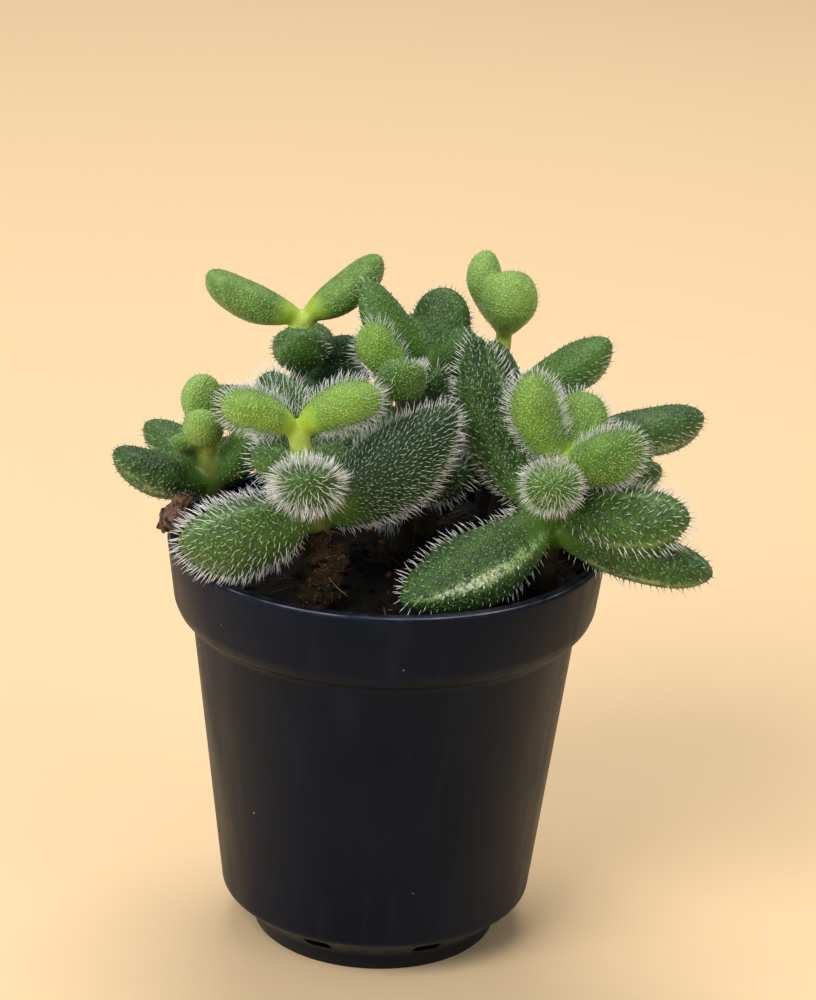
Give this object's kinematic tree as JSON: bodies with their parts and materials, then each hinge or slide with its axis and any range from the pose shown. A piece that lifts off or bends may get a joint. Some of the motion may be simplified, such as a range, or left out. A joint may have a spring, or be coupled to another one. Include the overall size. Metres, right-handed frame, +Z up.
{
  "type": "potted ice plant",
  "caption": "Small succulent with fat, spiny green leaves on short stems, growing in a round black plastic nursery pot filled with potting mix.",
  "frame": {"origin": "middle of the pot's flat base, on the surface that it stands on", "axes": "+Z up, -Y towards the front, +X to the right"},
  "size_m": [0.0799, 0.0632, 0.0894],
  "materials": {
    "pot_plastic": "satin",
    "potting_soil": "matte",
    "leaf_green": "satin",
    "leaf_young": "satin"
  },
  "bodies": {
    "root": {"pot": "pot_plastic", "soil": "potting_soil", "stem_front_left": "leaf_green", "stem_front_right": "leaf_green", "stem_right": "leaf_green", "stem_back_right": "leaf_green", "stem_back_centre": "leaf_green", "stem_rear_middle": "leaf_green", "stem_centre": "leaf_green", "stem_back_left": "leaf_green", "stem_left": "leaf_green", "stem_rear_left": "leaf_green", "tip_front_left": "leaf_young", "tip_front_right": "leaf_young", "tip_back_centre": "leaf_young", "tip_centre": "leaf_young", "tip_back_left": "leaf_young", "tip_left": "leaf_young"}
  },
  "joints": []
}
